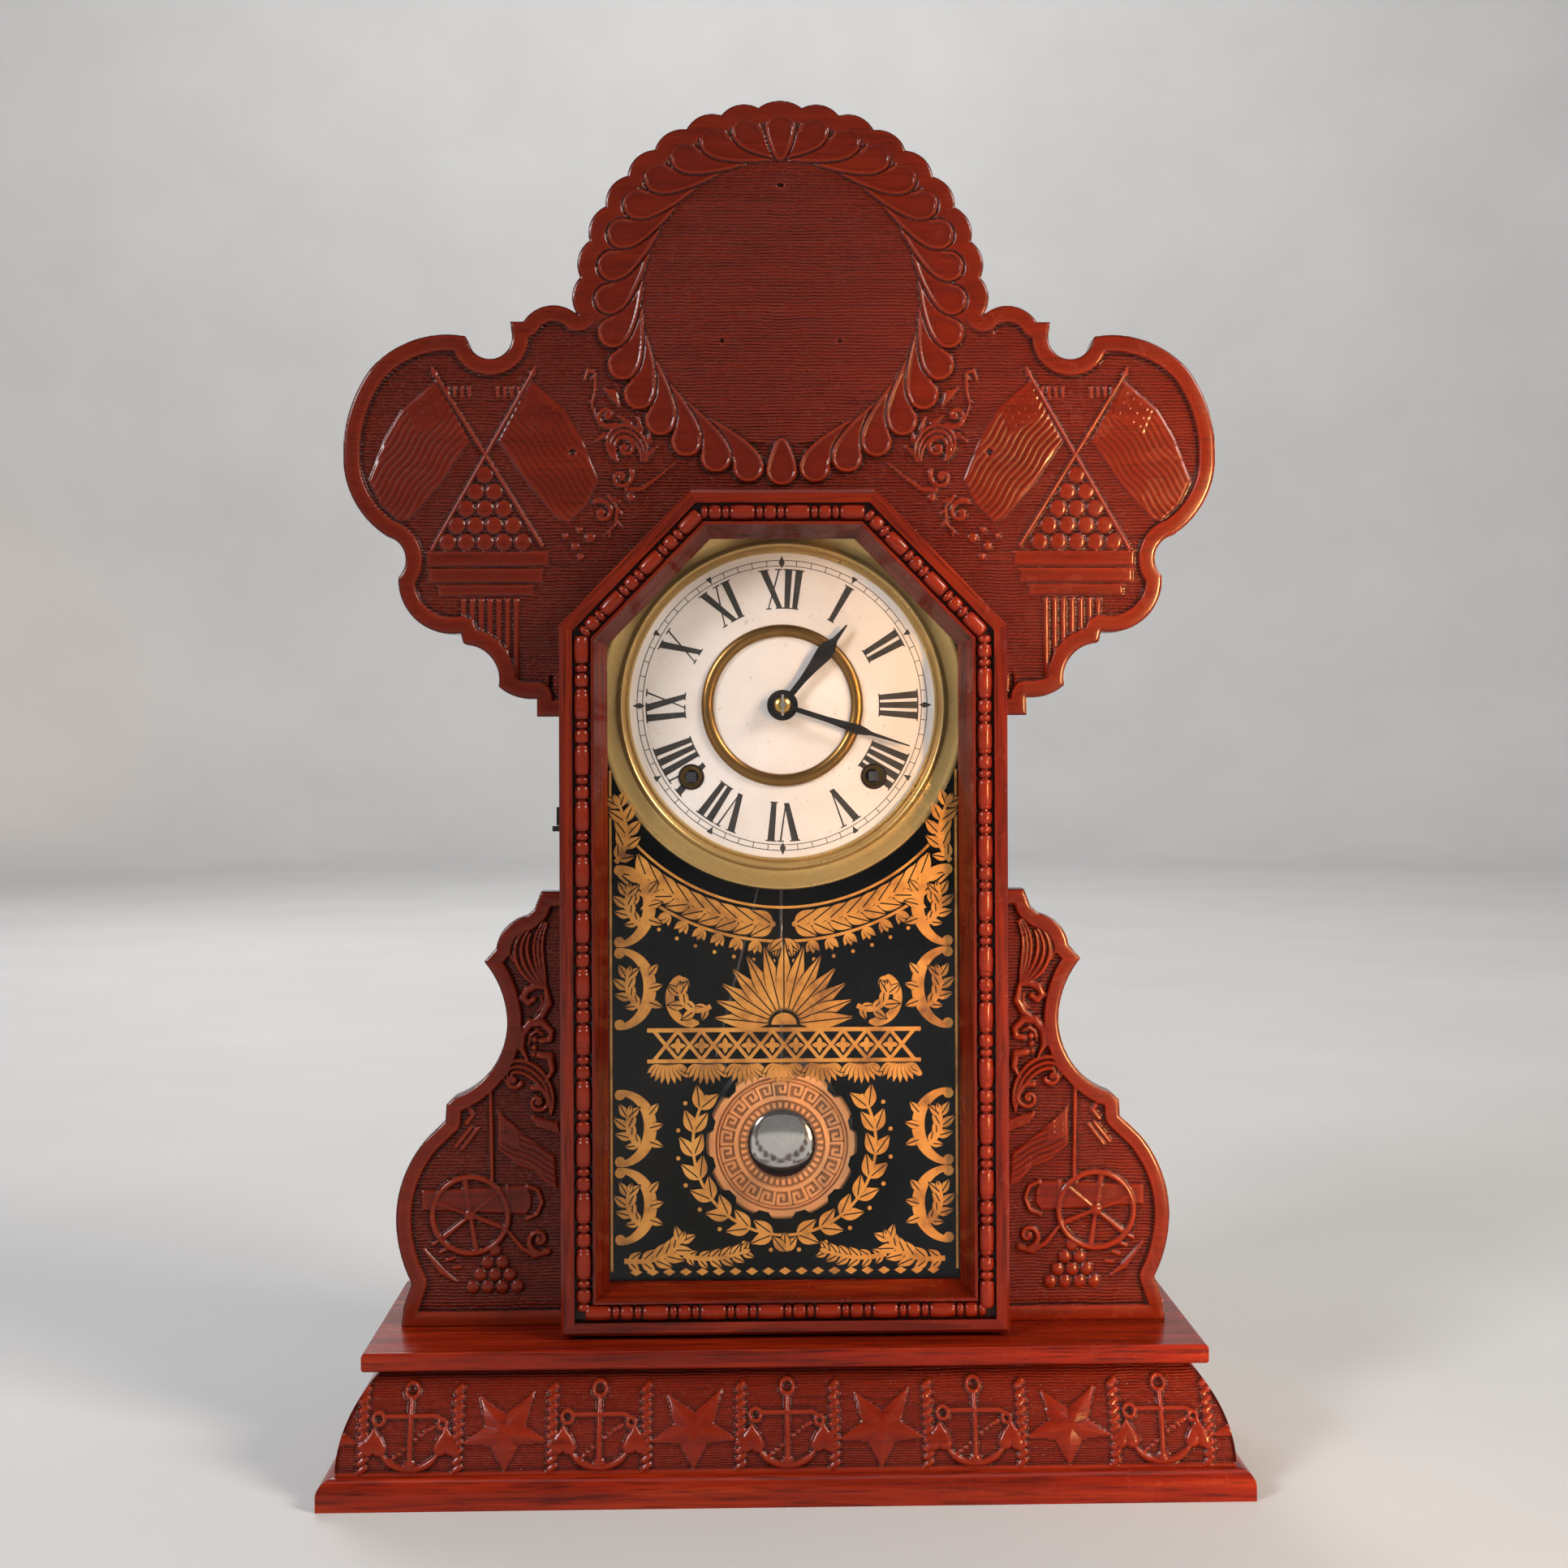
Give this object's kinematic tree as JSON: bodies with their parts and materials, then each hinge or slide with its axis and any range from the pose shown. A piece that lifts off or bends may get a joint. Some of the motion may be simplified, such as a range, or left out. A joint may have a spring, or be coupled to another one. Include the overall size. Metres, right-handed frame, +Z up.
{
  "type": "mantel clock",
  "caption": "Upright pressed-wood kitchen clock with a scalloped crest, glazed beaded door on side hinges, round dial with hands, swinging pendulum and a toothed striking movement.",
  "frame": {"origin": "middle of the plinth's underside, on the surface the clock stands on", "axes": "+Z up, -Y out of the dial towards the viewer, +X to the viewer's right"},
  "size_m": [0.379, 0.124, 0.5823],
  "materials": {
    "mahogany_wood": "gloss",
    "brass": "satin",
    "steel": "satin",
    "black_iron": "satin",
    "cast_iron": "matte",
    "glass": "gloss",
    "dial_white": "satin",
    "silvered": "gloss"
  },
  "bodies": {
    "case": {"plinth": "mahogany_wood", "base_front": "mahogany_wood", "base_sides": "mahogany_wood", "base_back": "mahogany_wood", "shelf": "mahogany_wood", "case_sides": "mahogany_wood", "case_cants": "mahogany_wood", "case_top": "mahogany_wood", "back_board": "mahogany_wood", "crest_board": "mahogany_wood", "side_scrolls": "mahogany_wood", "hinge_case_leaves": "brass", "latch_screw": "black_iron", "dial_cleats": "mahogany_wood", "dial_bezel": "brass", "dial_plate": "dial_white", "dial_ring": "brass", "winding_grommets": "black_iron", "front_plate": "brass", "back_plate": "brass", "pillars": "steel", "mainsprings": "steel", "gong_coil": "steel", "gong_block": "cast_iron"},
    "door": {"door_stile_left": "mahogany_wood", "door_stile_right": "mahogany_wood", "door_cants": "mahogany_wood", "door_top_rail": "mahogany_wood", "door_bottom_rail": "mahogany_wood", "door_beading": "mahogany_wood", "door_glass": "glass", "glass_stops": "mahogany_wood", "hinge_door_leaves": "brass", "latch_pin": "black_iron"},
    "latch": {"latch_hook": "black_iron"},
    "minute": {"center_arbor": "steel", "minute_hand": "black_iron", "hand_collet": "brass", "taper_pin": "steel"},
    "minute_gear": {"minute_wheel": "brass"},
    "hour": {"hour_wheel": "brass", "hour_hand": "black_iron"},
    "time_winder": {"time_arbor": "steel"},
    "time_main": {"time_main_wheel": "brass"},
    "second": {"second_wheel": "brass"},
    "center": {"center_wheel": "brass"},
    "third": {"third_wheel": "brass"},
    "escape": {"escape_wheel": "brass"},
    "strike_winder": {"strike_arbor": "steel"},
    "strike_main": {"strike_main_wheel": "brass"},
    "strike_second": {"strike_second_wheel": "brass"},
    "strike_third": {"strike_third_wheel": "brass"},
    "warning": {"warning_wheel": "brass"},
    "fan": {"fly": "brass"},
    "pendulum": {"verge": "steel", "suspension_spring": "steel", "pendulum_rod": "steel", "pendulum_bob": "brass", "bob_boss": "silvered"},
    "hammer": {"strike_hammer": "steel"}
  },
  "joints": [
    {"name": "door_hinge", "type": "hinge", "parent": "case", "child": "door", "pos_m": [0.0922, -0.014, 0.2], "axis": [0, 0, 1], "range_deg": [0, 90]},
    {"name": "latch_turn", "type": "hinge", "parent": "case", "child": "latch", "pos_m": [-0.0945, 0.002, 0.273], "axis": [1, 0, 0], "range_deg": [-50, 9]},
    {"name": "minute_turn", "type": "hinge", "parent": "case", "child": "minute", "pos_m": [0, 0.01, 0.3235], "axis": [0, 1, 0], "continuous": true},
    {"name": "minute_gear_turn", "type": "hinge", "parent": "case", "child": "minute_gear", "pos_m": [0, 0.01, 0.3365], "axis": [0, 1, 0], "continuous": true},
    {"name": "hour_turn", "type": "hinge", "parent": "case", "child": "hour", "pos_m": [0, 0.01, 0.3235], "axis": [0, 1, 0], "continuous": true},
    {"name": "time_wind", "type": "hinge", "parent": "case", "child": "time_winder", "pos_m": [0.0392, 0.01, 0.2929], "axis": [0, 1, 0], "continuous": true},
    {"name": "time_main_turn", "type": "hinge", "parent": "case", "child": "time_main", "pos_m": [0.0392, 0.01, 0.2929], "axis": [0, 1, 0], "continuous": true},
    {"name": "second_turn", "type": "hinge", "parent": "case", "child": "second", "pos_m": [0.016, 0.01, 0.3111], "axis": [0, 1, 0], "continuous": true},
    {"name": "center_turn", "type": "hinge", "parent": "case", "child": "center", "pos_m": [0, 0.01, 0.3235], "axis": [0, 1, 0], "continuous": true},
    {"name": "third_turn", "type": "hinge", "parent": "case", "child": "third", "pos_m": [0.0079, 0.01, 0.3419], "axis": [0, 1, 0], "continuous": true},
    {"name": "escape_turn", "type": "hinge", "parent": "case", "child": "escape", "pos_m": [0, 0.01, 0.3575], "axis": [0, 1, 0], "continuous": true},
    {"name": "strike_wind", "type": "hinge", "parent": "case", "child": "strike_winder", "pos_m": [-0.0392, 0.01, 0.2929], "axis": [0, 1, 0], "continuous": true},
    {"name": "strike_main_turn", "type": "hinge", "parent": "case", "child": "strike_main", "pos_m": [-0.0392, 0.01, 0.2929], "axis": [0, 1, 0], "continuous": true},
    {"name": "strike_second_turn", "type": "hinge", "parent": "case", "child": "strike_second", "pos_m": [-0.034, 0.01, 0.3225], "axis": [0, 1, 0], "continuous": true},
    {"name": "strike_third_turn", "type": "hinge", "parent": "case", "child": "strike_third", "pos_m": [-0.0287, 0.01, 0.3422], "axis": [0, 1, 0], "continuous": true},
    {"name": "warning_turn", "type": "hinge", "parent": "case", "child": "warning", "pos_m": [-0.0208, 0.01, 0.3558], "axis": [0, 1, 0], "continuous": true},
    {"name": "fly_turn", "type": "hinge", "parent": "case", "child": "fan", "pos_m": [-0.025, 0.01, 0.3672], "axis": [0, 1, 0], "continuous": true},
    {"name": "pendulum_swing", "type": "hinge", "parent": "case", "child": "pendulum", "pos_m": [0, 0.036, 0.3771], "axis": [0, 1, 0], "range_deg": [-4, 4]},
    {"name": "hammer_lift", "type": "hinge", "parent": "case", "child": "hammer", "pos_m": [-0.0097, 0.048, 0.2795], "axis": [0, 1, 0], "range_deg": [0, 12]}
  ],
  "couplings": [
    {"joint": "minute_gear_turn", "follows": "minute_turn", "ratio": -0.33333},
    {"joint": "hour_turn", "follows": "minute_turn", "ratio": 0.083333},
    {"joint": "third_turn", "follows": "escape_turn", "ratio": -0.09375},
    {"joint": "center_turn", "follows": "escape_turn", "ratio": 0.010417},
    {"joint": "second_turn", "follows": "escape_turn", "ratio": -0.0014881},
    {"joint": "time_main_turn", "follows": "escape_turn", "ratio": 0.00019841},
    {"joint": "warning_turn", "follows": "fly_turn", "ratio": -0.14286},
    {"joint": "strike_third_turn", "follows": "fly_turn", "ratio": 0.017857},
    {"joint": "strike_second_turn", "follows": "fly_turn", "ratio": -0.0022321},
    {"joint": "strike_main_turn", "follows": "fly_turn", "ratio": 0.00029762}
  ]
}
